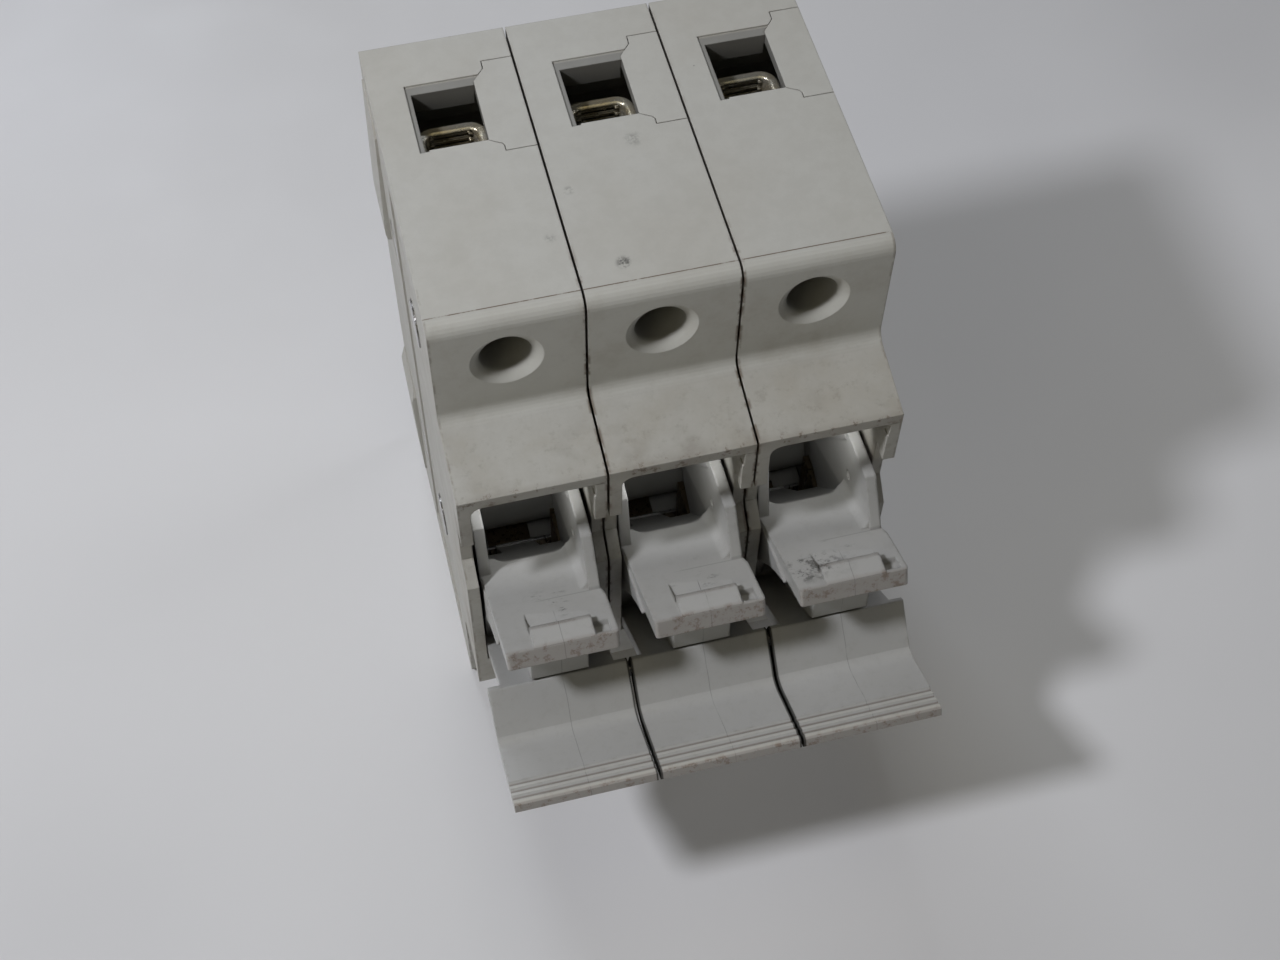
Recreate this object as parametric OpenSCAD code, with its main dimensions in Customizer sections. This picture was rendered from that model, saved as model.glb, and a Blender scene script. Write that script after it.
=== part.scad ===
// Three-pole swing-out holder for 10 x 38 mm cartridge fuses, on a 35 mm rail.
// X runs across the poles, -Y is the front, +Z is the upper end.
// The origin is on the rail's seat plane, at mid-width and mid-height.
// The carriers are drawn closed, then swung open to their rest position.

/* [Poles] */
// Distance from one pole to the next
pole_pitch = 18; // [17.8:0.1:18.4]
// Air gap between neighbouring bodies
pole_gap = 0.3; // [0.2:0.05:0.4]

/* [Body] */
// Height from end face to end face
body_h = 81; // [81:0.5:84]
// Depth from the rail to the shoulders
shoulder_d = 44; // [44:0.1:45]
// Depth from the rail to the front of the nose
nose_d = 54.2; // [54:0.1:54.6]
// Fall of the upper nose face towards its lip, in degrees
nose_fall = 13.9; // [13:0.1:14.5]
// Thickness of the body's outer walls
wall_t = 1.5; // [1.4:0.05:1.6]
// Thickness of the right cover plate
cover_t = 1.35; // [1.3:0.05:1.4]
// Joint gap between the cover and the body
seam = 0.1; // [0.06:0.01:0.14]

/* [Terminals] */
// Height of the terminal screws above and below the middle
screw_z = 33; // [32.9:0.05:33.1]
// Radius of the screwdriver hole
access_r = 3.1; // [3.05:0.05:3.2]
// Radius of the screw's shank
screw_r = 2.45; // [2.4:0.05:2.45]
// Radial clearance of the screw in the cage
thread_gap = 0.05; // [0.04:0.01:0.08]
// Wall thickness of the clamp cage
cage_t = 1.2; // [1.1:0.05:1.3]

/* [Fuse contacts] */
// Radius of the seat that grips the fuse cap
jaw_r = 5.2; // [5.15:0.05:5.25]
// Thickness of the contact strip
strip_t = 0.8; // [0.7:0.05:0.9]
// Depth of the fuse's axis behind the rail plane's front side
fuse_y = 38.5; // [38.4:0.05:38.6]

/* [Carrier] */
// Angle from closed to fully open, in degrees
open_angle = 36; // [34:0.5:36]
// Depth of the swing axis
pivot_y = 40; // [40:0.05:40.1]
// Height of the swing axis
pivot_z = -8; // [-8:0.05:-7.9]
// Radius of the trunnions
trunnion_r = 2.5; // [2.4:0.05:2.6]
// Radial clearance of the trunnions
trunnion_gap = 0.06; // [0.05:0.01:0.08]
// Width of the handle
handle_w = 17.6; // [17.4:0.1:17.6]
// Thickness of the handle
handle_t = 2.2; // [2.1:0.05:2.4]
// Length of the upper plate, from the fuse mouth to its front edge
plate_l = 18.2; // [18:0.1:18.3]
// Thickness of the upper plate
plate_t = 2.4; // [2.3:0.05:2.5]
// Slope of the upper plate when the carrier is closed, in degrees
plate_slope = 120.6; // [120:0.1:121]

/* [Rail catch] */
// Half the width of the rail
rail_half = 17.5; // [17.4:0.05:17.6]
// Half the width of the sliding catch
catch_w = 4.4; // [4.2:0.1:4.5]
// Sliding clearance of the catch
catch_gap = 0.2; // [0.15:0.05:0.25]

/* [Hidden] */
$fn = 48;

half_w = (pole_pitch - pole_gap) / 2;
end_z = body_h / 2;
left_in = -half_w + wall_t;
right_in = half_w - cover_t;
edge_r = 1.8;
neck_r = 2;
neck_z = 25.3;
term_x = -0.2;
deep = 60;
// The rear wall stands back from the raised land that seats on the rail
rear_step = 0.4;
land_z = 15.2;

shell_colour = [0.78, 0.78, 0.75];
cover_colour = [0.76, 0.76, 0.73];
carrier_colour = [0.85, 0.85, 0.83];
brass_colour = [0.78, 0.66, 0.38];
zinc_colour = [0.75, 0.72, 0.55];
steel_colour = [0.62, 0.63, 0.65];
catch_colour = [0.25, 0.26, 0.27];

function pole_x(pole) = (pole - 2) * pole_pitch;

// Points along an arc, from angle a0 to a1
function arc(centre, r, a0, a1, steps = 8) = [
    for (i = [0:steps])
        let (a = a0 + (a1 - a0) * i / steps)
            centre + r * [cos(a), sin(a)]
];

// Rounded rectangle between two corners
function round_rect(lo, hi, r) = concat(
    arc([hi[0] - r, hi[1] - r], r, 0, 90, 5),
    arc([lo[0] + r, hi[1] - r], r, 90, 180, 5),
    arc([lo[0] + r, lo[1] + r], r, 180, 270, 5),
    arc([hi[0] - r, lo[1] + r], r, 270, 360, 5)
);

// Height of the upper nose face at depth y, pulled inwards by t
function nose_top(y, t) =
    neck_z - (neck_r + t) / cos(nose_fall)
    - (-y - shoulder_d - neck_r) * tan(nose_fall);

// Side outline of the body in Y and Z, pulled inwards by t, with the nose cut at depth front
function body_outline(t, front) = concat(
    [[-rear_step - t, -end_z + t], [-rear_step - t, end_z - t]],
    arc([-shoulder_d + edge_r, end_z - edge_r], max(edge_r - t, 0.3), 90, 180, 6),
    arc([-shoulder_d - neck_r, neck_z], neck_r + t, 0, nose_fall - 90, 6),
    [[-front, nose_top(-front, t)], [-front, -neck_z + neck_r + t]],
    arc([-shoulder_d - neck_r, -neck_z], neck_r + t, 90, 0, 6),
    arc([-shoulder_d + edge_r, -end_z + edge_r], max(edge_r - t, 0.3), 180, 270, 6)
);

// Extrudes a Y-Z outline from x0 to x1
module along_x(x0, x1)
    translate([x0, 0, 0]) rotate([90, 0, 90]) linear_extrude(height = x1 - x0) children();

// Box between two corners
module block(lo, hi)
    translate(lo) cube(hi - lo);

// Cylinder along X, from x0 to x1, at depth y and height z
module rod_x(r, x0, x1, y, z)
    translate([x0, y, z]) rotate([0, 90, 0]) cylinder(r = r, h = x1 - x0);

// Cylinder along Y, from depth y0 to the larger y1
module rod_y(r, y0, y1, x, z)
    translate([x, y1, z]) rotate([90, 0, 0]) cylinder(r = r, h = y1 - y0);

// Draws its children at the upper end and mirrored at the lower end
module both_ends() {
    children();
    mirror([0, 0, 1]) children();
}

// ---- Body shell and cover ----

// Wire window in an end face
window_x = [-4.0, 3.55];
window_y = [-18, -8.8];
// Sunk border along the window's left and rear edges: widths and depth
border = [0.6, 1.4];
border_d = 0.2;
// Depth of the collar below the window
collar_d = 3.2;
rivet_r = 1.75;
rivet_head_r = 3;
rivet_head_t = 0.6;
rivet_spots = [[-15, 22], [-28, 22], [-15, -22], [-28, -22]];
// Finger notch in both nose walls: top, foot of the flat, foot of the ramp, depth
notch_z = [12, 4.5, 1.7];
notch_d = 2.7;
sill_z = -17.3;
guide_end_y = -37;
floor_z = [27.4, 28.6];

module nose_notch(x0, x1)
    along_x(x0, x1) polygon([
        [-nose_d - 1, notch_z[0]],
        [-nose_d + notch_d, notch_z[0]],
        [-nose_d + notch_d, notch_z[1]],
        [-nose_d, notch_z[2]],
        [-nose_d - 1, notch_z[2] - 1]
    ]);

// Outline, in X and Y, of the cover's tab beside the wire window
function tab_outline(grow) = [
    [half_w + 1, -5.4 + grow],
    [5.2 - grow, -5.4 + grow],
    [5.15 - grow, -6.6],
    [window_x[1] + 0.1, window_y[1] + 0.4 + grow],
    [window_x[1], window_y[0] - grow],
    [5.0 - grow, window_y[0] - 0.8 - grow],
    [5.2 - grow, window_y[0] - 1.2],
    [5.2 - grow, window_y[0] - 2 - grow],
    [half_w + 1, window_y[0] - 2 - grow]
];

module window_cut() {
    block([window_x[0], window_y[0], end_z - collar_d - 1],
        [window_x[1] + 1, window_y[1], end_z + 1]);
    block([window_x[0] - border[0], window_y[0] - 0.25, end_z - border_d],
        [window_x[0] + 0.5, window_y[1] + border[1], end_z + 1]);
    block([window_x[0], window_y[1] - 0.5, end_z - border_d],
        [4.6, window_y[1] + border[1], end_z + 1]);
    translate([0, 0, end_z - wall_t - 0.01])
        linear_extrude(height = wall_t + 1) polygon(tab_outline(seam));
}

module access_hole() {
    rod_y(access_r, -shoulder_d - 1, guide_end_y + 1, term_x, screw_z);
    translate([term_x, -shoulder_d - 0.01, screw_z]) rotate([-90, 0, 0])
        cylinder(r1 = access_r + 1.2, r2 = access_r, h = 0.85);
}

// Ribs and tubes inside one end of the body
module end_fittings() {
    // Floor under the terminal
    difference() {
        block([left_in - 0.2, -shoulder_d + wall_t - 0.2, floor_z[0]],
            [right_in - 0.2, -wall_t + 0.2, floor_z[1]]);
        block([-3.8, -20.6, floor_z[0] - 1], [3.4, -18.4, floor_z[1] + 1]);
    }
    rod_y(access_r + 1.1, -shoulder_d + wall_t - 0.2, guide_end_y, term_x, screw_z);
    // Collar behind and beside the window
    block([window_x[0] - 1, window_y[0], end_z - collar_d],
        [window_x[0], window_y[1] + 1, end_z - wall_t + 0.1]);
    block([window_x[0] - 1, window_y[1], end_z - collar_d],
        [window_x[1], window_y[1] + 1, end_z - wall_t + 0.1]);
}

// Fixed hook behind the rail's upper edge
module rail_hook(x0, x1)
    along_x(x0, x1) polygon([
        [-1, 24.5], [0, 24.5], [3.4, 22], [3.4, rail_half - 0.6], [2.4, rail_half - 1.7],
        [1.3, rail_half - 1.7], [1.3, rail_half + 0.2], [-1, rail_half + 0.2]
    ]);

module catch_channel()
    block([-catch_w - 2.2, -4.6, -end_z], [catch_w + 2.2, -wall_t + 0.2, -18.2]);

module catch_channel_cut() {
    block([-catch_w - catch_gap, -3.1, -end_z - 1], [catch_w + catch_gap, 1, -17.9]);
    block([-catch_w - 1, -3.1, -end_z - 1], [catch_w + 1, -1.7, -20]);
}

// Side outline of the keys on the left face and of their seats in the neighbour's cover
function key_outline(grow) = [
    [-2 + grow, 37.5 + grow], [-9.2 - grow, 37.5 + grow], [-10.6 - grow, 36],
    [-10.6 - grow, 17.6], [-9.2 - grow, 16.4 - grow], [-2 + grow, 16.4 - grow]
];

// Raised key on the left face, thicker towards the middle
module key_pad() intersection() {
    along_x(-half_w - 1, -half_w + 0.2) polygon(key_outline(0));
    rotate([90, 0, 0]) linear_extrude(height = 12) polygon([
        [-half_w + 0.2, 38], [-half_w - 0.2, 38], [-half_w - 0.7, 20.4],
        [-half_w - 0.7, 18.6], [-half_w - 0.05, 16], [-half_w + 0.2, 16]
    ]);
}

module key_seat()
    along_x(half_w - 0.65, half_w + 1) polygon(key_outline(0.25));

module housing() color(shell_colour) {
    difference() {
        union() {
            difference() {
                along_x(-half_w, half_w) polygon(body_outline(0, nose_d));
                along_x(left_in, half_w + 1) polygon(body_outline(wall_t, deep));
            }
            both_ends() key_pad();
            both_ends() end_fittings();
            rail_hook(-6.4, 6.4);
            catch_channel();
            block([-half_w, -wall_t, -land_z], [half_w, 0, land_z]);
            for (spot = rivet_spots)
                rod_x(rivet_head_r + 0.4, left_in - 0.2, right_in - 0.1, spot[0], spot[1]);
            // Sill across the foot of the nose opening
            block([left_in - 0.2, -nose_d, -neck_z + neck_r + wall_t - 0.2],
                [right_in - 0.15, -nose_d + 1.3, sill_z]);
            // Fillet between the left tab and the lip
            translate([0, -nose_d + 1.3, 0]) rotate([90, 0, 0]) linear_extrude(height = 1.3)
                polygon(concat(
                    [[left_in - 0.2, nose_top(-nose_d, wall_t) + 0.3]],
                    arc([left_in + 1.5, nose_top(-nose_d, wall_t) - 1.5], 1.5, 180, 90, 6),
                    [[left_in + 1.5, nose_top(-nose_d, wall_t) + 0.3]]
                ));
        }
        both_ends() window_cut();
        both_ends() access_hole();
        catch_channel_cut();
        nose_notch(-half_w - 1, left_in + 0.1);
        for (spot = rivet_spots) {
            rod_x(rivet_r + 0.05, -half_w - 1, half_w + 1, spot[0], spot[1]);
            rod_x(rivet_head_r + 0.1, -half_w - 1, -half_w + rivet_head_t, spot[0], spot[1]);
        }
        // Blind seat of the left trunnion
        rod_x(trunnion_r + trunnion_gap, left_in - 0.9, left_in + 0.1, -pivot_y, pivot_z);
        // Shallow panel in the left face
        along_x(-half_w - 1, -half_w + 0.25) polygon([
            [-18.5, 36.5], [-38.5, 36.5], [-38.5, -36.5], [-18.5, -36.5]
        ]);
    }
    // Peg that the catch spring pushes against
    block([-1.8, -3.4, -36.2], [1.8, -1.3, -35.2]);
}

module cover() color(cover_colour) difference() {
    union() {
        difference() {
            along_x(right_in, half_w) polygon(body_outline(wall_t + seam, nose_d));
            nose_notch(right_in - 1, half_w + 1);
        }
        both_ends() intersection() {
            translate([0, 0, end_z - wall_t - seam - 0.6])
                linear_extrude(height = wall_t + seam + 0.6) polygon(tab_outline(0));
            union() {
                block([0, -30, end_z - wall_t], [half_w, 0, end_z]);
                block([right_in, -30, end_z - wall_t - seam - 0.6], [half_w, 0, end_z]);
            }
        }
        // Thick inner edge of the tab at the lip
        block([right_in - 0.15, -nose_d, notch_z[0]],
            [right_in + 0.2, -nose_d + 1.3, 17]);
    }
    both_ends() key_seat();
    for (spot = rivet_spots) {
        rod_x(rivet_r + 0.05, right_in - 1, half_w + 1, spot[0], spot[1]);
        rod_x(rivet_head_r + 0.1, half_w - rivet_head_t, half_w + 1, spot[0], spot[1]);
    }
    rod_x(trunnion_r + trunnion_gap, right_in - 0.1, right_in + 0.8, -pivot_y, pivot_z);
}

// ---- Carrier, drawn closed ----

cheek_in = 5.5;
cheek_out = 6.9;
plate_left = -6.4;
plate_right = 7.3;
panel_w = 7.2;
mouth = [-43.74, 3.87];
ridge = [-58.4, 8.9];
shelf_dir = [-cos(11.8), -sin(11.8)];
shelf_l = 7.15;
lip_dir = [-cos(61), sin(61)];
lip_l = 11.36;
elbow = ridge + shelf_l * shelf_dir;
panel_dir = [sin(15.4), -cos(15.4)];
panel_l = 19.6;
panel_front = 2 * [-cos(15.4), -sin(15.4)];
groove_pitch = 1.25;
// Centre and radius of the pins that link the handles
pin_spot = ridge + [-1.5, -1.6];
pin_r = 0.8;
// Inner corner between the plate and the right cheek, and the dimple in that cheek
fillet_r = 1.5;
dimple = [-41.65, 6.06];

// Places its children in the plate's own frame: X across, Y up the plate, Z out of its front face
module on_plate()
    translate([0, mouth[0], mouth[1]]) rotate([plate_slope, 0, 0]) children();

// Side outline of the handle: a shelf that runs out from the ridge, then a lip that curls up
function handle_outline() =
    let (
        inner_r = 2.6,
        outer_r = inner_r + handle_t,
        bend = 180 - 11.8 - 61,
        back = inner_r / tan(bend / 2),
        centre = elbow - back * shelf_dir + inner_r * [sin(11.8) * -1, cos(11.8)],
        tip = elbow + lip_l * lip_dir,
        under = [sin(11.8), -cos(11.8)],
        out = [-sin(61), -cos(61)]
    )
    concat(
        [ridge],
        arc(centre, inner_r, 270 - 11.8, 180 + 29, 8),
        [tip - 0.5 * lip_dir, tip + 0.35 * out, tip + (handle_t - 0.8) * out,
            tip + handle_t * out - 0.9 * lip_dir],
        arc(centre, outer_r, 180 + 29, 270 - 11.8, 8),
        [ridge + handle_t * under + 2.6 * shelf_dir, ridge + 3.6 * panel_dir + panel_front,
            ridge + 0.9 * panel_dir]
    );

// Front panel below the ridge, with a skirt that turns about the swing axis
function panel_outline() =
    [ridge + 0.2 * panel_dir, ridge + panel_l * panel_dir,
        ridge + panel_l * panel_dir + panel_front, ridge + 1.2 * panel_dir + panel_front];

module skirt()
    along_x(-panel_w, panel_w) polygon(concat(
        arc([-pivot_y, pivot_z], 12.5, 184, 220, 10),
        arc([-pivot_y, pivot_z], 11.3, 220, 184, 10),
        [[-53.2, -7.4], [-54.6, -8.2]]
    ));

// Cheek beside the fuse, which falls from its brow to the plate at distance s up the plate
module cheek(x0, x1, brow, s)
    along_x(x0, x1) polygon([
        [-36, 9.5], brow, mouth + s * [cos(plate_slope), sin(plate_slope)],
        [-52.4, 13.6], [-51.4, 9.6], [-50.9, 6.9], [-50.6, -1], [-53.9, -7.6], [-52.2, -10.9],
        [-46, -11.5], [-40, -12.3], [-36.2, -10.6], [-34.2, -6]
    ]);

module fuse_channel() {
    // Front wall of the channel
    block([-cheek_in - 0.2, -45.5, -11.2], [cheek_in + 0.2, mouth[0] - 0.3, 3.4]);
    // Bridge behind the fuse
    block([-cheek_in - 0.2, -33.1, -5.6], [cheek_in + 0.2, -31.9, 6]);
    for (side = [-1, 1])
        along_x(side > 0 ? cheek_in - 0.2 : -cheek_out, side > 0 ? cheek_out : -cheek_in + 0.2)
            polygon([[-37, -6], [-31.9, -5.6], [-31.9, 6], [-37, 8.5]]);
    // Narrow toe under the fuse's lower end
    block([-2.6, -45.5, -20.4], [2.6, mouth[0] - 0.3, -11]);
    block([-2.6, -45.5, -20.9], [2.6, -39, -19.5]);
}

module upper_plate() difference() {
    union() {
        on_plate() linear_extrude(height = plate_t)
            polygon(concat(
                [[-cheek_out + 0.1, -1.2], [cheek_out, -1.2], [cheek_out, 9],
                    [plate_right, 10.5]],
                arc([plate_right - 0.5, plate_l - 0.5], 0.5, 0, 90, 4),
                arc([plate_left + 0.4, plate_l - 0.4], 0.4, 90, 180, 4)
            ));
        // Latch wedge
        on_plate() along_x(-3, 4.5) polygon([
            [15, 0.3], [15, -0.9], [15.7, -1.0], [plate_l - 0.1, -0.05], [plate_l - 0.3, 0.3]
        ]);
    }
    // Pocket behind the wedge, ramped towards its left corner
    intersection() {
        on_plate() block([-3, 11, -1], [4.5, 15, 1.5]);
        on_plate() translate([-3, 11.2, 0]) rotate([0, 0, 13.9]) rotate([10.7, 0, 0])
            block([-2, -1, -3], [10, 8, 0]);
    }
    // Small pocket beside the wedge
    on_plate() block([4.6, 15.4, -0.5], [6.5, plate_l - 0.6, 0.8]);
}

module handle() difference() {
    along_x(-handle_w / 2, handle_w / 2) polygon(handle_outline());
    // Grip grooves in the lip's inner face
    for (i = [0:2])
        let (at = elbow + (lip_l - 1.1 - i * groove_pitch) * lip_dir + 0.12 * [sin(61), cos(61)])
            rod_x(0.42, -handle_w / 2 - 1, handle_w / 2 + 1, at[0], at[1]);
}

// Blind holes for the link pins
module pin_holes()
    for (side = [-1, 1])
        rod_x(pin_r + 0.05, side > 0 ? handle_w / 2 - 2.8 : -handle_w / 2 - 1,
            side > 0 ? handle_w / 2 + 1 : -handle_w / 2 + 2.8, pin_spot[0], pin_spot[1]);

// Fillet between the plate and the right cheek, up to distance s on the plate
module plate_fillet(s)
    on_plate() translate([0, s, 0]) rotate([90, 0, 0]) linear_extrude(height = s + 1.2)
        polygon(concat(
            [[cheek_in + 0.2, 0.2]],
            [for (i = [0:6])
                let (a = 90 * i / 6)
                    [cheek_in + 0.05 - fillet_r * (1 - sin(a)), 0.05 - fillet_r * (1 - cos(a))]],
            [[cheek_in + 0.2, 0.05 - fillet_r]]
        ));

// Rib between the plate and the front panel, sunk into both
module web()
    along_x(-3.3, 3.9) polygon([
        [-45.3, 2.3], [-53.1, 15.4], [-54.5, 13.9], [-58.1, 9.3],
        ridge + 3 * panel_dir + 0.15 * panel_front, ridge + 16 * panel_dir + 0.15 * panel_front,
        [-45.2, -8]
    ]);

module swing(angle)
    translate([0, -pivot_y, pivot_z]) rotate([angle, 0, 0]) translate([0, pivot_y, -pivot_z])
        children();

module carrier() color(carrier_colour) swing(open_angle) difference() {
    union() {
        upper_plate();
        handle();
        along_x(-panel_w, panel_w) polygon(panel_outline());
        skirt();
        web();
        cheek(-cheek_out, -cheek_in, [-38.6, 10.6], 2);
        cheek(cheek_in, cheek_out, [-41.7, 14], 9.3);
        plate_fillet(8.7);
        fuse_channel();
        for (side = [-1, 1])
            rod_x(trunnion_r, side > 0 ? cheek_out - 0.2 : left_in - 0.8,
                side > 0 ? right_in + 0.7 : -cheek_out + 0.2, -pivot_y, pivot_z);
    }
    // Rounded bore that leads the fuse in
    translate([0, -fuse_y, 0]) linear_extrude(height = 80, center = true)
        polygon(round_rect([-5.4, -5.3], [5.4, 5.3], 2.4));
    pin_holes();
    rod_x(0.7, cheek_in - 0.1, cheek_in + 0.5, dimple[0], dimple[1]);
}

module handle_link_pins() color(steel_colour) swing(open_angle)
    for (side = [-1, 1])
        rod_x(pin_r, side * pole_pitch / 2 - 2.7, side * pole_pitch / 2 + 2.7,
            pin_spot[0], pin_spot[1]);

module tie_rivets() color(steel_colour) for (spot = rivet_spots) {
    left = -pole_pitch - half_w;
    rod_x(rivet_r, left + 0.1, -left - 0.1, spot[0], spot[1]);
    rod_x(rivet_head_r, left + 0.05, left + rivet_head_t - 0.05, spot[0], spot[1]);
    rod_x(rivet_head_r, -left - rivet_head_t + 0.05, -left - 0.05, spot[0], spot[1]);
}

// ---- Contacts ----

tail_y = [-20.2, -18.8];
strip_w = 3;
base_z = [26.2, 27.3];
// Half angle of the jaw's mouth, and the jaw's lower edge
jaw_open = 50;
jaw_z = 14.5;

module contact_tail(from_y) {
    block([term_x - strip_w, from_y, base_z[0]], [term_x + strip_w, tail_y[1], base_z[1]]);
    block([term_x - strip_w, tail_y[0], base_z[0]], [term_x + strip_w, tail_y[1], end_z - 3.6]);
}

module upper_contact() color(brass_colour) {
    translate([0, -fuse_y, jaw_z]) difference() {
        cylinder(r = jaw_r + strip_t, h = 4);
        translate([0, 0, -1]) cylinder(r = jaw_r, h = 6);
        translate([0, 0, -1]) linear_extrude(height = 6)
            polygon([[0, 0], 14 * [sin(jaw_open), -cos(jaw_open)],
                14 * [-sin(jaw_open), -cos(jaw_open)]]);
    }
    // Flared lips that lead the cap in
    for (side = [-1, 1])
        translate([side * (jaw_r + strip_t / 2) * sin(jaw_open),
            -fuse_y - (jaw_r + strip_t / 2) * cos(jaw_open), jaw_z])
            rotate([0, 0, side * 25])
                translate([-strip_t / 2, -1.6, 0]) cube([strip_t, 2, 4]);
    rise_y = -fuse_y + jaw_r + 0.1;
    block([term_x - strip_w, rise_y, jaw_z + 3.3],
        [term_x + strip_w, rise_y + strip_t, base_z[1]]);
    contact_tail(rise_y);
}

// Two flat blades that grip the lower cap from the sides
module lower_contact() color(brass_colour) mirror([0, 0, 1]) {
    for (side = [-1, 1])
        block([side > 0 ? jaw_r : -jaw_r - strip_t, -41, 14],
            [side > 0 ? jaw_r + strip_t : -jaw_r, -35.5, base_z[1]]);
    block([-jaw_r - strip_t, -41, base_z[0]], [jaw_r + strip_t, -35.5, base_z[1]]);
    contact_tail(-36);
}

spring_t = 0.45;

module upper_jaw_spring() color(steel_colour) {
    r = jaw_r + strip_t + 0.08;
    translate([0, -fuse_y, jaw_z + 0.9]) difference() {
        cylinder(r = r + spring_t, h = 2.2);
        translate([0, 0, -1]) cylinder(r = r, h = 5);
        translate([0, 0, -1]) linear_extrude(height = 5)
            polygon([[0, 0], 14 * [sin(jaw_open + 6), -cos(jaw_open + 6)],
                14 * [-sin(jaw_open + 6), -cos(jaw_open + 6)]]);
    }
}

module lower_jaw_spring() color(steel_colour) mirror([0, 0, 1]) {
    x = jaw_r + strip_t + 0.08;
    // Back of the clip, behind the blades
    block([-x - spring_t, -35.3, 21.8], [x + spring_t, -35.3 + spring_t, 24.6]);
    for (side = [-1, 1]) {
        block([side > 0 ? x : -x - spring_t, -40, 21.8],
            [side > 0 ? x + spring_t : -x, -34.9, 24.6]);
        block([side > 0 ? x : -x - spring_t, -39.4, 15],
            [side > 0 ? x + spring_t : -x, -37, 22]);
    }
}

// ---- Terminals ----

cage_y = [-26.3, -11.3];
cage_z = [29, 37.1];
cage_half = 4.4;

module upper_cage() color(zinc_colour) difference() {
    translate([term_x, 0, cage_z[0]]) linear_extrude(height = cage_z[1] - cage_z[0])
        difference() {
            polygon(round_rect([-cage_half, cage_y[0]], [cage_half, cage_y[1]], 2.2));
            polygon(round_rect([-cage_half + cage_t, cage_y[0] + 2.6],
                [cage_half - cage_t, cage_y[1] - cage_t], 1.1));
        }
    rod_y(screw_r + thread_gap, cage_y[0] - 1, cage_y[0] + 4, term_x, screw_z);
    // Grip teeth on the clamping face
    for (i = [0:4])
        translate([term_x - 2.4, cage_y[1] - cage_t, cage_z[1] - 0.9 - i * 1.1])
            rotate([45, 0, 0]) translate([0, -0.25, -0.25]) cube([4.8, 0.5, 0.5]);
}

module lower_cage() mirror([0, 0, 1]) upper_cage();

screw_tip_y = tail_y[0] - 0.1;
screw_head_y = [-36.4, -33.4];

module upper_screw() color(steel_colour) difference() {
    union() {
        rod_y(screw_r, screw_head_y[1] - 0.1, screw_tip_y - 0.8, term_x, screw_z);
        translate([term_x, screw_tip_y - 0.8, screw_z]) rotate([-90, 0, 0])
            cylinder(r1 = screw_r, r2 = screw_r - 0.7, h = 0.8);
        rod_y(access_r - 0.2, screw_head_y[0], screw_head_y[1], term_x, screw_z);
    }
    // Cross recess
    for (turn = [20, 110])
        translate([term_x, screw_head_y[0], screw_z]) rotate([0, turn, 0])
            translate([-2.2, -1, -0.5]) cube([4.4, 2.6, 1]);
}

module lower_screw() mirror([0, 0, 1]) upper_screw();

// ---- Rail catch ----

catch_window_z = [-36.4, -27];
spring_r = 0.3;

module rail_catch() color(catch_colour) difference() {
    union() {
        block([-catch_w, -2.9, -end_z + 0.3], [catch_w, -0.5, -18.6]);
        block([-catch_w - 0.8, -2.9, -38], [catch_w + 0.8, -1.9, -22]);
        along_x(-catch_w, catch_w) polygon([
            [-0.6, -24.3], [0, -24.3], [3.4, -21.5], [3.4, -rail_half + 0.2],
            [1.3, -rail_half + 1.6], [1.3, -rail_half - 0.2], [0.1, -rail_half - 0.2],
            [0.1, -18.8], [-0.6, -18.8]
        ]);
    }
    block([-2.4, -4, catch_window_z[0]], [2.4, 1, catch_window_z[1]]);
    // Slot for the release tool
    block([-2, -4, -39.4], [2, 1, -37.9]);
}

// Zigzag wire spring between the catch and the body's peg
module catch_spring() color(steel_colour) {
    runs = 6;
    pitch = 1.5;
    half = 1.2;
    top = catch_window_z[1] - spring_r - 0.03;
    translate([0, -2.1, top]) {
        for (i = [0:runs - 1])
            translate([-half, 0, -i * pitch]) rotate([0, 90, 0])
                cylinder(r = spring_r, h = 2 * half, $fn = 20);
        for (i = [0:runs - 2])
            translate([i % 2 == 0 ? half : -half, 0, -(i + 0.5) * pitch])
                rotate([90, i % 2 == 0 ? 0 : 180, 0])
                    rotate([0, 0, -90]) rotate_extrude(angle = 180, $fn = 32)
                        translate([pitch / 2, 0]) circle(r = spring_r, $fn = 20);
    }
}

module on_pole(pole)
    translate([pole_x(pole), 0, 0]) children();

on_pole(1) housing();  // housing_1
on_pole(2) housing();  // housing_2
on_pole(3) housing();  // housing_3
on_pole(1) cover();  // cover_1
on_pole(2) cover();  // cover_2
on_pole(3) cover();  // cover_3
on_pole(1) carrier();  // carrier_1
on_pole(2) carrier();  // carrier_2
on_pole(3) carrier();  // carrier_3
on_pole(1) upper_contact();  // upper_contact_1
on_pole(2) upper_contact();  // upper_contact_2
on_pole(3) upper_contact();  // upper_contact_3
on_pole(1) lower_contact();  // lower_contact_1
on_pole(2) lower_contact();  // lower_contact_2
on_pole(3) lower_contact();  // lower_contact_3
on_pole(1) upper_jaw_spring();  // upper_jaw_spring_1
on_pole(2) upper_jaw_spring();  // upper_jaw_spring_2
on_pole(3) upper_jaw_spring();  // upper_jaw_spring_3
on_pole(1) lower_jaw_spring();  // lower_jaw_spring_1
on_pole(2) lower_jaw_spring();  // lower_jaw_spring_2
on_pole(3) lower_jaw_spring();  // lower_jaw_spring_3
on_pole(1) upper_cage();  // upper_cage_1
on_pole(2) upper_cage();  // upper_cage_2
on_pole(3) upper_cage();  // upper_cage_3
on_pole(1) lower_cage();  // lower_cage_1
on_pole(2) lower_cage();  // lower_cage_2
on_pole(3) lower_cage();  // lower_cage_3
on_pole(1) upper_screw();  // upper_screw_1
on_pole(2) upper_screw();  // upper_screw_2
on_pole(3) upper_screw();  // upper_screw_3
on_pole(1) lower_screw();  // lower_screw_1
on_pole(2) lower_screw();  // lower_screw_2
on_pole(3) lower_screw();  // lower_screw_3
on_pole(1) rail_catch();  // rail_catch_1
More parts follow.
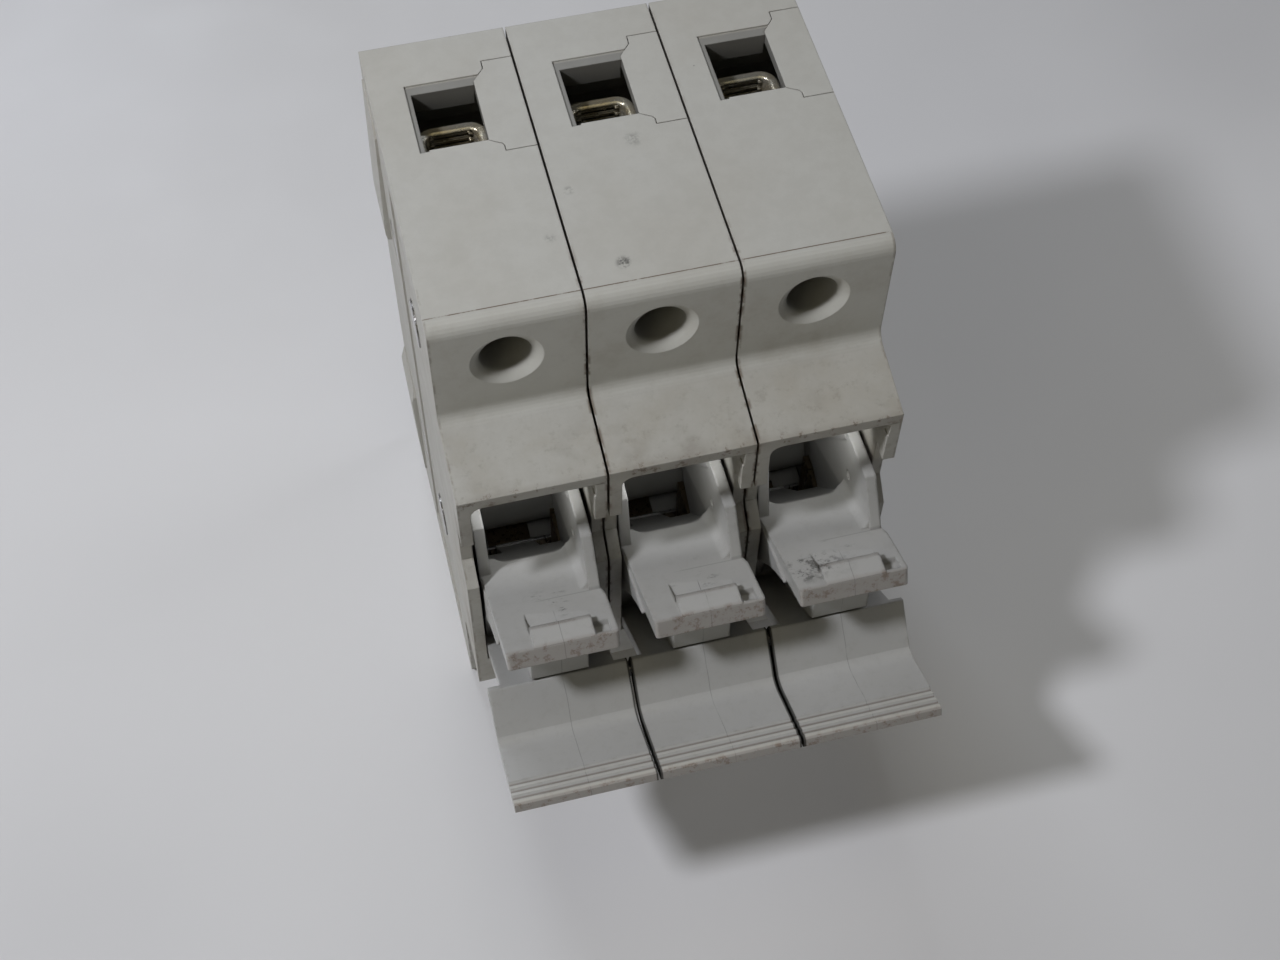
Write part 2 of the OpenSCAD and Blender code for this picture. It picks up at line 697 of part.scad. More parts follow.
on_pole(2) rail_catch();  // rail_catch_2
on_pole(3) rail_catch();  // rail_catch_3
on_pole(1) catch_spring();  // catch_spring_1
on_pole(2) catch_spring();  // catch_spring_2
on_pole(3) catch_spring();  // catch_spring_3
handle_link_pins();
tie_rivets();
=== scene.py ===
"""Looks for the three-pole cartridge fuse holder: materials, soft edges, floor, light and camera.

Everything is in metres in the row frame: X across the poles, -Y out of the front, +Z up.
The node trees work in millimetres, because their grain, wear and grime are that size.
"""

import math

import bmesh
import bpy
from mathutils import Matrix, Vector


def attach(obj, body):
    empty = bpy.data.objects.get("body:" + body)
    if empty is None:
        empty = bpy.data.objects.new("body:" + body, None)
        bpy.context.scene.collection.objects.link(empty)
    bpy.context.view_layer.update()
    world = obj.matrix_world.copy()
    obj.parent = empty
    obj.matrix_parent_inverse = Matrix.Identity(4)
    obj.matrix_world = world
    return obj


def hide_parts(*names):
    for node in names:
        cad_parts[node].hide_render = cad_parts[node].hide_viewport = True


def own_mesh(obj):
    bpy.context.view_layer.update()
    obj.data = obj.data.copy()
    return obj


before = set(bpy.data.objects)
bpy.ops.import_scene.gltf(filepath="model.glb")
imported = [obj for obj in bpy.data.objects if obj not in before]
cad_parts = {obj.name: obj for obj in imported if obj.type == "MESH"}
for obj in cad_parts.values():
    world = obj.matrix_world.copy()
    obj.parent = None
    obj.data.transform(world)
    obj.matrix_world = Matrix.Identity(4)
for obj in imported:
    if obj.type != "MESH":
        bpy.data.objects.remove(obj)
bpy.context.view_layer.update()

MM = 0.001
PITCH = 18.0  # mm between poles
HALF_ROW = 27.0  # mm from the middle to the row's sides
END_Z = 40.5  # mm from the middle to the end faces
SWING = (-40.0, -8.0)  # Y and Z of the carriers' swing axis, mm
OPEN = math.radians(36)  # swing from closed to the rest position


# ---- Node helper ----


class Nodes:
    """A short way to write one material's node tree."""

    def __init__(self, name):
        self.material = bpy.data.materials.new(name)
        self.material.use_nodes = True
        self.tree = self.material.node_tree
        self.tree.nodes.clear()
        place = self.add("TexCoord").outputs["Object"]
        self.mm = self.vector("SCALE", place, scale=1 / MM)
        split = self.add("SeparateXYZ", {"Vector": self.mm})
        self.x, self.y, self.z = split.outputs
        wrapped = self.math("FLOORED_MODULO", self.math("ADD", self.x, HALF_ROW), PITCH)
        self.pole_x = self.math("SUBTRACT", wrapped, PITCH / 2)
        # Distances from the row's middle, from the pole's middle and from mid-height
        self.off_row = self.math("ABSOLUTE", self.x)
        self.off_pole = self.math("ABSOLUTE", self.pole_x)
        self.off_middle = self.math("ABSOLUTE", self.z)

    def add(self, kind, inputs=None, **settings):
        node = self.tree.nodes.new("ShaderNode" + kind)
        for name, value in settings.items():
            setattr(node, name, value)
        for name, value in (inputs or {}).items():
            self.plug(node.inputs[name], value)
        return node

    def plug(self, socket, value):
        if isinstance(value, bpy.types.NodeSocket):
            self.tree.links.new(value, socket)
        elif isinstance(value, tuple) and len(value) == 3 and socket.type == "RGBA":
            socket.default_value = value + (1.0,)
        else:
            socket.default_value = value

    def math(self, operation, a, b=0.0):
        return self.add("Math", {0: a, 1: b}, operation=operation).outputs[0]

    def vector(self, operation, a, b=(0.0, 0.0, 0.0), scale=1.0):
        node = self.add("VectorMath", {0: a}, operation=operation)
        if operation == "SCALE":
            node.inputs["Scale"].default_value = scale
        else:
            self.plug(node.inputs[1], b)
        return node.outputs["Value" if operation in ("DOT_PRODUCT", "DISTANCE") else "Vector"]

    def product(self, *values):
        result = values[0]
        for value in values[1:]:
            result = self.math("MULTIPLY", result, value)
        return result

    def most(self, *values):
        result = values[0]
        for value in values[1:]:
            result = self.math("MAXIMUM", result, value)
        return result

    def band(self, value, start, end, low=0.0, high=1.0):
        """Rises smoothly from low at start to high at end; start may be above end."""
        if start > end:
            start, end, low, high = end, start, high, low
        inputs = {"Value": value, 1: start, 2: end, 3: low, 4: high}
        return self.add("MapRange", inputs, interpolation_type="SMOOTHSTEP").outputs[0]

    def line(self, value, centre, width):
        """1 where value is within width of centre, soft at its sides."""
        off = self.math("ABSOLUTE", self.math("SUBTRACT", value, centre))
        return self.band(off, width, width * 0.4)

    def along(self, direction, through):
        """Distance in mm along a direction in Y and Z, from a point in Y and Z."""
        dy, dz = direction
        start = dy * through[0] + dz * through[1]
        run = self.vector("DOT_PRODUCT", self.mm, (0.0, dy, dz))
        return self.math("SUBTRACT", run, start)

    def noise(self, size, detail=3.0, rough=0.55, shift=0.0, stretch=(1.0, 1.0, 1.0)):
        """Noise around 0.5, with features about size mm across, longer along a stretched axis."""
        scaled = self.vector("MULTIPLY", self.mm, tuple(1 / s for s in stretch))
        moved = self.vector("ADD", scaled, (shift, shift * 0.7, -shift * 1.3))
        inputs = {"Vector": moved, "Scale": 0.6 / size, "Detail": detail, "Roughness": rough}
        return self.add("TexNoise", inputs).outputs["Fac"]

    def patches(self, size, start, end, **settings):
        """Noise cut so that it rises from 0 at start to 1 at end."""
        return self.band(self.noise(size, **settings), start, end)

    def spread(self, noise, low, high):
        """Noise stretched to run from low to high."""
        return self.band(noise, 0.3, 0.7, low, high)

    def specks(self, spacing, radius, share, shift=0.0):
        """Round dots on a random part of a cell pattern."""
        moved = self.vector("ADD", self.mm, (shift, -shift, shift * 0.4))
        cells = self.add("TexVoronoi", {"Vector": moved, "Scale": 1 / spacing})
        chosen = self.band(cells.outputs["Color"], share + 0.02, share)
        size = self.band(cells.outputs["Distance"], radius / spacing, radius / spacing * 0.5)
        return self.product(chosen, size)

    def hollows(self, distance, inside=False):
        """1 in corners and gaps; with inside, 1 along raised edges."""
        inputs = {"Distance": distance * MM}
        node = self.add("AmbientOcclusion", inputs, samples=4, inside=inside)
        return self.math("SUBTRACT", 1.0, node.outputs["AO"])

    def mix(self, share, a, b):
        node = self.add("Mix", data_type="RGBA", clamp_factor=True)
        self.plug(node.inputs["Factor"], share)
        self.plug(node.inputs[6], a)
        self.plug(node.inputs[7], b)
        return node.outputs[2]

    def over(self, colour, tone, *shares):
        """The colour with a tone over it, as far as the product of the shares says."""
        return self.mix(self.product(*shares), colour, tone)

    def soft_normal(self, radius):
        """Normal that rounds edges by radius mm, for light to catch."""
        metres = self.math("MULTIPLY", radius, MM)
        return self.add("Bevel", {"Radius": metres}, samples=4).outputs[0]

    def bump(self, height, depth, normal=None):
        """Bump whose height of 0 to 1 stands for depth mm."""
        inputs = {"Height": height, "Distance": depth * MM, "Strength": 1.0}
        if normal is not None:
            inputs["Normal"] = normal
        return self.add("Bump", inputs).outputs["Normal"]

    def finish(self, colour, roughness, normal, metallic=0.0, **extra):
        inputs = {"Base Color": colour, "Roughness": roughness, "Normal": normal,
                  "Metallic": metallic}
        inputs.update(extra)
        shader = self.add("BsdfPrincipled", inputs)
        self.add("OutputMaterial", {"Surface": shader.outputs[0]})
        return self.material


# ---- Places on the opened carriers, as Y and Z in mm ----


def turned(direction):
    dy, dz = direction
    return (dy * math.cos(OPEN) - dz * math.sin(OPEN), dy * math.sin(OPEN) + dz * math.cos(OPEN))


def opened(place):
    dy, dz = turned((place[0] - SWING[0], place[1] - SWING[1]))
    return (SWING[0] + dy, SWING[1] + dz)


def heading(degrees):
    return (math.cos(math.radians(degrees)), math.sin(math.radians(degrees)))


MOUTH = opened((-43.74, 3.87))  # where the upper plate starts
PLATE_RUN = turned(heading(120.6))
PLATE_UP = turned(heading(30.6))
ELBOW = opened((-65.4, 7.44))
LIP_RUN = turned(heading(119))
GRIP_FIRST = 10.26  # mm along the lip from the elbow to the groove nearest the tip
GRIP_PITCH = 1.25
GRIP_COUNT = 3
HANDLE_TIP = (-70.0, -72.0)  # Y from where to where the handle's tip begins, mm


# ---- Shell plastic ----

SHELL = (0.474, 0.472, 0.440)
SHELL_WARM = (0.400, 0.380, 0.330)
CARRIER = (0.445, 0.447, 0.436)
CARRIER_WARM = (0.385, 0.378, 0.355)
# Pale: worn edges, and also painted fill light on the shoulders and painted highlights on the
# handle's ridges
PALE = (0.58, 0.58, 0.54)
# Brown: grime, and also painted shade on the handle's shelf and in its grooves
GRIME_AND_SHADE = (0.130, 0.095, 0.065)
RUST = (0.175, 0.115, 0.078)
# Near black: smudges and dark specks, and also painted shade inside the shell, in the metals'
# corners and between the handles
SOOT_AND_SHADE = (0.030, 0.029, 0.027)

# X, Y and radius in mm, and strength, of the marks on the upper end faces
SMUDGES = (
    (-3.6, -39.4, 1.2, 0.85),
    (-10.8, -34.1, 0.9, 0.35),
    (-7.2, -27.7, 0.9, 0.35),
    (1.9, -21.7, 1.5, 0.35),
)


def indoors(n):
    """1 on surfaces inside the shell, fading at its openings."""
    wide = n.band(n.off_pole, 7.6, 7.4)
    behind = n.band(n.y, -1.1, -1.5)
    body = n.product(n.band(n.y, -43.7, -42.4), behind, n.band(n.off_middle, 40.2, 37.0))
    nose = n.product(n.band(n.y, -53.4, -50.5), n.band(n.off_middle, 19.4, 18.9), behind)
    return n.product(wide, n.most(body, nose))


def end_smudges(n):
    """Brown scuffs on the upper end faces: one dark smudge on the middle pole and faint ones."""
    scratch = n.patches(0.55, 0.42, 0.58, detail=6, rough=0.75, shift=61)
    spots = []
    for x, y, radius, strength in SMUDGES:
        gap = n.vector("DISTANCE", n.mm, (x, y, END_Z))
        spots.append(n.product(n.band(gap, radius, radius * 0.2), strength))
    return n.product(n.band(n.z, 40.0, 40.4), scratch, n.most(*spots))


def shell_colour(n, between):
    """The moulding's own colour, mottled, with tan patches on the shoulders; the shoulders are
    also made paler, which is painted fill light.
    """
    colour = n.over(SHELL, SHELL_WARM, n.patches(16, 0.35, 0.7, shift=3), 0.35)
    grain = n.patches(1.6, 0.35, 0.65, detail=6, rough=0.75, shift=15)
    colour = n.over(colour, GRIME_AND_SHADE, grain, 0.07)
    shoulder = n.product(n.band(n.y, -42.2, -43.2), n.band(n.y, -45.5, -44.6),
                         n.band(n.z, 22.0, 24.0), between)
    # Painted fill light: the shoulders, which face the front, are made paler
    colour = n.over(colour, PALE, shoulder, 0.7)
    tan = n.patches(5, 0.45, 0.7, detail=6, rough=0.7, shift=36)
    return n.over(colour, SHELL_WARM, shoulder, tan, 0.45)


def nose_marks(n, colour, rub):
    """Brown handling marks on the nose, most of them near its front edge."""
    cloud = n.patches(6, 0.42, 0.72, detail=6, rough=0.65, shift=21)
    colour = n.over(colour, SHELL_WARM, n.band(n.y, -44.6, -46.5, 0.15, 1.0), cloud, 0.8)
    stain = n.patches(4, 0.46, 0.7, detail=6, shift=28)
    colour = n.over(colour, GRIME_AND_SHADE, n.band(n.y, -45.5, -52.0), stain, 0.30)
    colour = n.over(colour, GRIME_AND_SHADE, rub, n.band(n.y, -41.0, -50.0), 0.22)
    lip = n.product(n.band(n.y, -53.2, -54.1), n.band(n.z, 18.6, 20.4))
    return n.over(colour, GRIME_AND_SHADE, lip, n.band(rub, 0.0, 0.9, 0.15, 0.8))


def shell_lines(n, colour, between, fine):
    """Scuffs and a broken brown line on the end faces, and dirt along the seams."""
    broken = n.patches(1.6, 0.32, 0.50, detail=5, rough=0.7, shift=77)
    witness = n.product(n.line(n.y, -42.1, 0.11), n.band(n.off_middle, 40.1, 40.35))
    colour = n.over(colour, GRIME_AND_SHADE, witness, n.product(broken, 0.9))
    colour = n.mix(end_smudges(n), colour, SOOT_AND_SHADE)
    seam = n.product(n.band(n.off_pole, 8.45, 8.85), between, n.band(n.y, -34.0, -42.0, 0.2, 1.0))
    return n.over(colour, GRIME_AND_SHADE, seam, n.band(fine, 0.46, 0.60))


def shell_wear(n, colour, rub, fine):
    """Grime in the corners, browned and worn edges, and dark specks."""
    corner = n.band(n.hollows(1.4), 0.30, 0.85)
    colour = n.over(colour, GRIME_AND_SHADE, corner, 0.45)
    edge = n.hollows(0.5, inside=True)
    colour = n.over(colour, PALE, edge, n.band(fine, 0.45, 0.6), 0.30)
    colour = n.over(colour, GRIME_AND_SHADE, edge, rub, 0.35)
    specks = n.most(n.specks(6.5, 0.11, 0.3), n.specks(11, 0.17, 0.25, shift=40))
    return n.over(colour, SOOT_AND_SHADE, specks, 0.6)


def shell_shade(n, colour):
    """Painted shade: darker inside the shell, and on the collars of the wire windows."""
    colour = n.over(colour, SOOT_AND_SHADE, indoors(n), 0.45)
    # Painted shade on the collars' walls inside the wire windows
    collar = n.product(
        n.band(n.off_middle, 40.42, 40.25), n.band(n.off_middle, 36.0, 37.0),
        n.band(n.y, -18.6, -18.2), n.band(n.y, -7.4, -7.8), n.band(n.off_pole, 5.2, 4.9),
    )
    return n.over(colour, SOOT_AND_SHADE, collar, 0.65)


def shell_plastic():
    """Warm-grey moulding with a matt texture, brown handling marks and softly worn edges; painted
    shade inside it and painted fill light on its shoulders.
    """
    n = Nodes("shell_plastic")
    between = n.band(n.off_row, HALF_ROW - 0.1, HALF_ROW - 0.4)
    fine = n.noise(1.1, detail=5, shift=9)
    rub = n.patches(0.8, 0.52, 0.70, detail=6, rough=0.75, shift=31)
    colour = shell_colour(n, between)
    colour = nose_marks(n, colour, rub)
    colour = shell_lines(n, colour, between, fine)
    colour = shell_wear(n, colour, rub, fine)
    colour = shell_shade(n, colour)
    rough = n.spread(n.noise(3.5, detail=4, shift=55), 0.48, 0.62)
    normal = n.bump(n.noise(0.22, detail=2, shift=70), 0.007, n.soft_normal(0.18))
    return n.finish(colour, rough, normal, **{"Specular IOR Level": 0.4})


# ---- Carrier plastic ----


def plate_marks(n, run, on_top):
    """Dark scuffs across the plate, most of them on the third pole, and a fine crease line."""
    dash = n.patches(0.55, 0.54, 0.66, detail=6, rough=0.8, shift=12, stretch=(2.6, 1.0, 1.0))
    field = n.product(n.band(run, 6.5, 9.5), n.band(run, 14.5, 11.5))
    middle = n.product(n.band(n.pole_x, -4.0, -1.0), n.band(n.pole_x, 4.0, 1.0))
    patch = n.patches(3.2, 0.48, 0.62, detail=2, shift=93)
    light = n.product(dash, field, middle, patch, 0.85)
    last = n.band(n.x, 11.0, 12.5)
    latch = n.product(n.band(run, 11.0, 12.5), n.band(run, 17.5, 15.5),
                      n.band(n.pole_x, 2.0, -1.5))
    scuffs = n.patches(0.8, 0.47, 0.60, detail=6, rough=0.8, shift=47)
    heavy = n.product(scuffs, latch, last, 0.7)
    crease = n.product(n.line(run, 9.3, 0.12), n.band(n.pole_x, -2.0, 0.0), 0.25)
    return n.product(n.most(light, heavy, crease), on_top)


def carrier_grime(n, run, lip_run, rub):
    """Red-brown grime on the latch ridge, the plate's front and the handle's tip."""
    flat = n.vector("MULTIPLY", n.mm, (0.0, 1.0, 1.0))
    near = n.band(n.vector("DISTANCE", flat, (0.0, *MOUTH)), 20.4, 19.4)
    ridge = n.product(n.line(run, 15.3, 0.55), n.band(n.pole_x, -3.4, -2.6),
                      n.band(n.pole_x, 5.0, 4.4), 0.4)
    front = n.product(n.band(run, 17.4, 18.3), 0.75)
    plate = n.product(n.most(ridge, front), near)
    tip = n.product(n.band(lip_run, 9.9, 11.2), 0.75, n.band(n.y, *HANDLE_TIP))
    return n.product(n.most(plate, tip), n.band(rub, 0.0, 0.9, 0.4, 1.0))


def mould_line(n, run, on_top):
    """A faint, wandering line down the middle of the latch and the handle."""
    wander = n.product(n.math("SUBTRACT", n.noise(5.0, shift=71), 0.5), 0.5)
    off = n.math("ADD", n.pole_x, wander)
    faint = n.band(n.noise(1.5, detail=4, shift=83), 0.35, 0.55, 0.15, 0.55)
    ahead = n.most(n.product(n.band(run, 14.6, 15.0), on_top), n.band(n.y, -60.5, -61.5))
    fading = n.band(n.y, -60.0, -66.0, 1.0, 0.6)
    return n.product(n.line(off, 0.5, 0.07), faint, ahead, fading)


def grip_lines(n, lip_run, offset):
    """Thin lines across the handle's inner face, offset mm along the lip from its grooves."""
    share = 0.0
    for i in range(GRIP_COUNT):
        centre = GRIP_FIRST - i * GRIP_PITCH + offset
        share = n.math("ADD", share, n.line(lip_run, centre, 0.3))
    return n.product(share, n.band(n.y, *HANDLE_TIP))


def carrier_wear(n, colour, lip_run, rub):
    """Browned edges, grime in the corners and dark specks."""
    edge = n.hollows(0.6, inside=True)
    colour = n.over(colour, GRIME_AND_SHADE, edge, rub, 0.45)
    corner = n.product(n.band(n.hollows(1.2), 0.35, 0.9), n.band(lip_run, 6.0, 4.0))
    colour = n.over(colour, GRIME_AND_SHADE, corner, 0.35)
    return n.over(colour, SOOT_AND_SHADE, n.specks(3.6, 0.10, 0.3, shift=17), 0.6)


def handle_shade(n, colour, run, lip_run):
    """Painted shade on the handle's shelf, a little darker, and in its grooves, dark; painted
    highlights on the ridges between them, pale.
    """
    shelf = n.product(n.band(lip_run, 4.0, -3.0), n.band(run, 19.0, 20.5),
                      n.band(n.y, -58.0, -59.0))
    colour = n.over(colour, GRIME_AND_SHADE, shelf, 0.16)
    # Painted shade in the grooves and painted highlights on the ridges between them
    colour = n.over(colour, GRIME_AND_SHADE, grip_lines(n, lip_run, 0.0), 0.55)
    return n.over(colour, PALE, grip_lines(n, lip_run, GRIP_PITCH / 2), 0.6)


def between_carriers(n):
    """1 on the sides where neighbouring handles face each other."""
    return n.product(n.band(n.off_pole, 8.5, 8.7), n.band(n.off_row, 26.2, 25.8),
                     n.band(n.y, -58.0, -60.0))


def carrier_plastic():
    """Smooth grey moulding with a slight sheen, a mould line, scuffs and red-brown grime; painted
    shade inside and between the handles, and painted highlights on the grip's ridges.
    """
    n = Nodes("carrier_plastic")
    run = n.along(PLATE_RUN, MOUTH)
    rise = n.along(PLATE_UP, MOUTH)
    lip_run = n.along(LIP_RUN, ELBOW)
    on_top = n.product(n.band(rise, -1.2, -0.9), n.band(rise, 2.2, 1.8), n.band(run, 20.0, 19.0))
    rub = n.patches(0.8, 0.48, 0.68, detail=6, rough=0.75, shift=12)
    colour = n.over(CARRIER, CARRIER_WARM, n.patches(8, 0.35, 0.7, detail=4, shift=5), 0.25)
    colour = n.over(colour, GRIME_AND_SHADE, rub, 0.07)
    colour = n.mix(plate_marks(n, run, on_top), colour, SOOT_AND_SHADE)
    colour = n.mix(carrier_grime(n, run, lip_run, rub), colour, RUST)
    colour = n.mix(mould_line(n, run, on_top), colour, SOOT_AND_SHADE)
    colour = carrier_wear(n, colour, lip_run, rub)
    colour = handle_shade(n, colour, run, lip_run)
    # Painted shade on the sides where neighbouring handles face each other
    beside = between_carriers(n)
    colour = n.over(colour, SOOT_AND_SHADE, beside, 0.85)
    # Painted shade under the housing's nose, on the carrier's cheek and the plate's start
    inner = n.product(n.band(rise, -0.4, -1.4), n.band(run, 3.0, 0.5), n.band(n.y, -53.0, -51.5))
    colour = n.over(colour, SOOT_AND_SHADE, inner, 0.35)
    rough = n.spread(n.noise(2.5, detail=4, shift=33), 0.29, 0.36)
    edge_size = n.band(n.y, -66.0, -68.0, 0.45, 0.12)  # mm, small at the handle's grooves
    normal = n.bump(n.noise(0.5, detail=3, shift=44), 0.004, n.soft_normal(edge_size))
    sheen = n.band(beside, 0.0, 1.0, 0.5, 0.0)  # none between the handles
    return n.finish(colour, rough, normal, **{"Specular IOR Level": sheen})


# ---- Metals and the rail catches ----


def metal(name, tone, dark, rough_low, rough_high, brushed=(1.0, 1.0, 8.0), deep=0.5,
          shade=0.6, metallic=1.0):
    """Bare or plated steel or brass with brushed grain, and painted shade that darkens it in
    corners and deep in the shell.
    """
    n = Nodes(name)
    colour = n.mix(n.patches(2.0, 0.3, 0.75, detail=4, shift=7), tone, dark)
    # Painted shade: darker in corners as far as shade says, and deep in the shell as far as deep
    # says
    colour = n.over(colour, SOOT_AND_SHADE, n.hollows(1.0), shade)
    colour = n.over(colour, SOOT_AND_SHADE, n.band(n.off_middle, 37.0, 36.6), deep)
    brush = n.noise(0.25, detail=3, stretch=brushed, shift=2)
    rough = n.spread(brush, rough_low, rough_high)
    normal = n.bump(brush, 0.001, n.soft_normal(0.3))
    return n.finish(colour, rough, normal, metallic)


def catch_plastic():
    """Dark grey moulding with a little dust."""
    n = Nodes("catch_plastic")
    colour = n.mix(n.patches(3.0, 0.3, 0.7, shift=8), (0.035, 0.036, 0.04), (0.06, 0.06, 0.062))
    dust = n.patches(0.8, 0.5, 0.7, detail=5, shift=14)
    colour = n.over(colour, (0.2, 0.19, 0.17), dust, 0.35)
    rough = n.spread(n.noise(1.5, shift=25), 0.4, 0.6)
    return n.finish(colour, rough, n.bump(n.noise(0.3, shift=3), 0.02))


MATERIALS = {
    "housing": shell_plastic(),
    "carrier": carrier_plastic(),
    "upper_contact": metal("contact_metal", (0.60, 0.48, 0.30), (0.42, 0.34, 0.22), 0.25, 0.45),
    "upper_jaw_spring": metal("spring_steel", (0.50, 0.50, 0.51), (0.34, 0.34, 0.35), 0.25, 0.4),
    "upper_cage": metal("zinc_steel", (0.78, 0.77, 0.70), (0.72, 0.62, 0.42), 0.20, 0.28,
                        brushed=(6.0, 1.0, 1.0), deep=0.1, shade=0.15, metallic=0.8),
    # Painted shade: the screws get a dark tone for the shade deep in their access holes
    "upper_screw": metal("screw_steel", (0.20, 0.20, 0.20), (0.14, 0.14, 0.14), 0.4, 0.6,
                         deep=0.4),
    "tie_rivets": metal("rivet_steel", (0.55, 0.54, 0.53), (0.40, 0.39, 0.38), 0.2, 0.35,
                        deep=0.0),
    "rail_catch": catch_plastic(),
}
SAME_AS = {
    "cover": "housing",
    "lower_contact": "upper_contact",
    "lower_jaw_spring": "upper_jaw_spring",
    "catch_spring": "upper_jaw_spring",
    "handle_link_pins": "upper_jaw_spring",
    "lower_cage": "upper_cage",
    "lower_screw": "upper_screw",
}


def family(node):
    return node.rstrip("0123456789").rstrip("_")


def paint(node, obj):
    kind = family(node)
    obj.data.materials.clear()
    obj.data.materials.append(MATERIALS[SAME_AS.get(kind, kind)])


# ---- Soft edges ----

WELD = 1e-6  # m, joins the corners that neighbouring faces share
EDGE_RADIUS = {"upper_cage": 0.3, "lower_cage": 0.3, "rail_catch": 0.2, "upper_screw": 0.12,
               "lower_screw": 0.12}


def soften(node, obj):
    """Rounds the sharp edges of a CAD node with modifiers, which leave its mesh as it is."""
    weld = obj.modifiers.new("weld", "WELD")
    weld.merge_threshold = WELD
    radius = EDGE_RADIUS.get(family(node))
    if radius:
        bevel = obj.modifiers.new("round", "BEVEL")
        bevel.width = radius * MM
        bevel.segments = 2
        bevel.limit_method = "ANGLE"
        bevel.angle_limit = math.radians(32)
        bevel.use_clamp_overlap = False
        bevel.loop_slide = False
        bevel.harden_normals = True


for node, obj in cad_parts.items():
    paint(node, obj)
    soften(node, obj)


# ---- Catch springs, as welded copies on the body ----


def show(obj):
    bpy.context.scene.collection.objects.link(obj)


def shortening_spring(pole):
    """A welded copy of the pole's catch spring, on the body, in place of the hidden CAD node."""
    node = f"catch_spring_{pole}"
    mesh = bpy.data.meshes.new(node + "_wire")
    wire = bmesh.new()
    wire.from_mesh(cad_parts[node].data)
    bmesh.ops.remove_doubles(wire, verts=wire.verts, dist=WELD)
    wire.to_mesh(mesh)
    wire.free()
    mesh.materials.append(MATERIALS["upper_jaw_spring"])
    spring = bpy.data.objects.new(node + "_wire", mesh)
    show(spring)
    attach(spring, "body")
    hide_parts(node)
    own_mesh(spring)


for pole in (1, 2, 3):
    shortening_spring(pole)


# ---- Floor ----

FLOOR_Z = -END_Z * MM
FLOOR_HALF = 3.0  # m


def floor_material():
    """Pale, slightly uneven paper, with a painted pool of light that makes it brightest at the
    far left, painted shade at the near left and a painted shadow at the far right.
    """
    n = Nodes("floor")
    colour = n.mix(n.patches(60, 0.3, 0.7, detail=3, shift=6), (0.70, 0.70, 0.71),
                   (0.72, 0.72, 0.73))
    # Painted pool of light at the far left
    light_pool_far_left = n.product(n.band(n.x, -20.0, -80.0), n.band(n.y, 30.0, 95.0))
    colour = n.mix(light_pool_far_left, colour, (0.78, 0.785, 0.81))
    # Painted shade at the near left and painted shadow at the far right
    shade_near_left = n.product(n.band(n.x, -50.0, -95.0), n.band(n.y, -30.0, -75.0))
    shadow_far_right = n.product(n.band(n.x, 95.0, 135.0), n.band(n.y, 10.0, 50.0))
    colour = n.mix(n.most(shade_near_left, shadow_far_right), colour, (0.635, 0.635, 0.645))
    rough = n.spread(n.noise(8, shift=2), 0.55, 0.65)
    return n.finish(colour, rough, n.bump(n.noise(0.6, shift=1), 0.01))


def make_floor():
    half = FLOOR_HALF
    corners = [(-half, -half, FLOOR_Z), (half, -half, FLOOR_Z), (half, half, FLOOR_Z),
               (-half, half, FLOOR_Z)]
    mesh = bpy.data.meshes.new("floor")
    mesh.from_pydata(corners, [], [(0, 1, 2, 3)])
    mesh.materials.append(floor_material())
    floor = bpy.data.objects.new("floor", mesh)
    show(floor)


# ---- Light ----

# Name, shape, place and width in mm, watts, colour
LIGHTS = (
    ("key", "DISK", (-231, -87, 292), 46, 0.82, (0.935, 0.945, 1.0)),
    ("back", "SQUARE", (-60, 700, 500), 260, 1.90, (0.89, 0.935, 1.0)),
    ("right", "SQUARE", (600, 100, 300), 300, 0.95, (0.92, 0.92, 0.96)),
    ("over", "SQUARE", (0, 0, 800), 400, 0.30, (1.0, 0.90, 0.60)),
    ("left", "SQUARE", (-500, -500, 400), 400, 0.52, (1.0, 0.92, 0.68)),
    ("front", "SQUARE", (0, -700, 450), 400, 0.08, (1.0, 0.95, 0.80)),
)
LIT_PLACE = (0.0, -30.0, -20.0)  # mm, what the lights point at
WINDOW_WIDTH = 9.0  # mm
WINDOW_WATTS = 0.0012
AMBIENT = 0.01
BACKDROP = 0.45


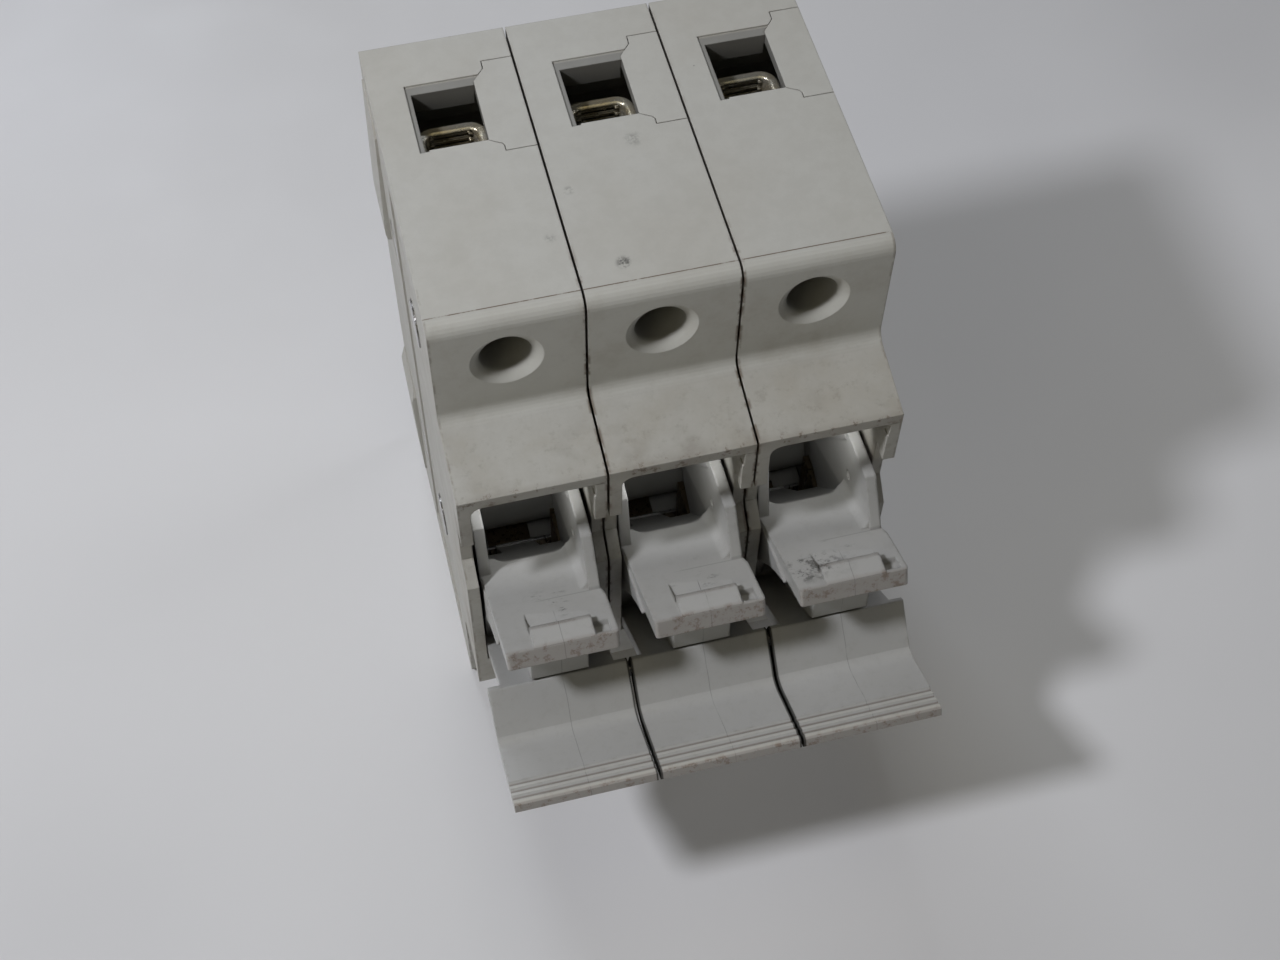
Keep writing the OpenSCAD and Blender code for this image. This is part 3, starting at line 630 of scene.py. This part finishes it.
def make_light(name, shape, place, width, watts, colour, target):
    data = bpy.data.lights.new(name, "AREA")
    data.shape = shape
    data.size = width * MM
    data.energy = watts
    data.color = colour
    light = bpy.data.objects.new(name, data)
    light.location = Vector(place) * MM
    light.rotation_mode = "QUATERNION"
    light.rotation_quaternion = (Vector(target) - Vector(place)).to_track_quat("-Z", "Y")
    show(light)


def make_lights():
    for name, shape, place, width, watts, colour in LIGHTS:
        make_light(name, shape, place, width, watts, colour, LIT_PLACE)


def light_windows():
    """A weak light in each pole's opening, so that the channel behind it isn't fully black."""
    for pole in (-1, 0, 1):
        x = pole * PITCH
        make_light("window", "SQUARE", (x, -49.0, 14.0), WINDOW_WIDTH, WINDOW_WATTS,
                   (1.0, 1.0, 1.0), (x, -30.0, 2.0))


def make_world():
    """A pale backdrop for the camera that lights the object only a little."""
    world = bpy.data.worlds.new("studio")
    world.use_nodes = True
    tree = world.node_tree
    back = tree.nodes["Background"]
    back.inputs["Color"].default_value = (1.0, 0.99, 0.97, 1.0)
    ray = tree.nodes.new("ShaderNodeLightPath")
    seen = tree.nodes.new("ShaderNodeMapRange")
    seen.inputs["To Min"].default_value = AMBIENT
    seen.inputs["To Max"].default_value = BACKDROP
    tree.links.new(ray.outputs["Is Camera Ray"], seen.inputs["Value"])
    tree.links.new(seen.outputs["Result"], back.inputs["Strength"])
    bpy.context.scene.world = world


# ---- Camera, at the photograph's viewing angle ----

CAMERA_PLACE = Vector((-36.10, -167.66, 202.19)) * MM
CAMERA_FORWARD = Vector((0.1417, 0.5207, -0.8419))
CAMERA_RIGHT = Vector((0.9696, -0.2443, 0.0121))
LENS = 52.58
SENSOR_WIDTH = 36.0


def make_camera():
    data = bpy.data.cameras.new("camera")
    data.lens = LENS
    data.sensor_width = SENSOR_WIDTH
    data.clip_start = 0.005
    data.clip_end = 20.0
    camera = bpy.data.objects.new("camera", data)
    back = -CAMERA_FORWARD.normalized()
    up = back.cross(CAMERA_RIGHT).normalized()
    right = up.cross(back)
    turn = Matrix((right, up, back)).transposed().to_4x4()
    camera.matrix_world = Matrix.Translation(CAMERA_PLACE) @ turn
    show(camera)
    bpy.context.scene.camera = camera


make_floor()
make_lights()
light_windows()
make_world()
make_camera()
bpy.context.scene.view_settings.view_transform = "Standard"
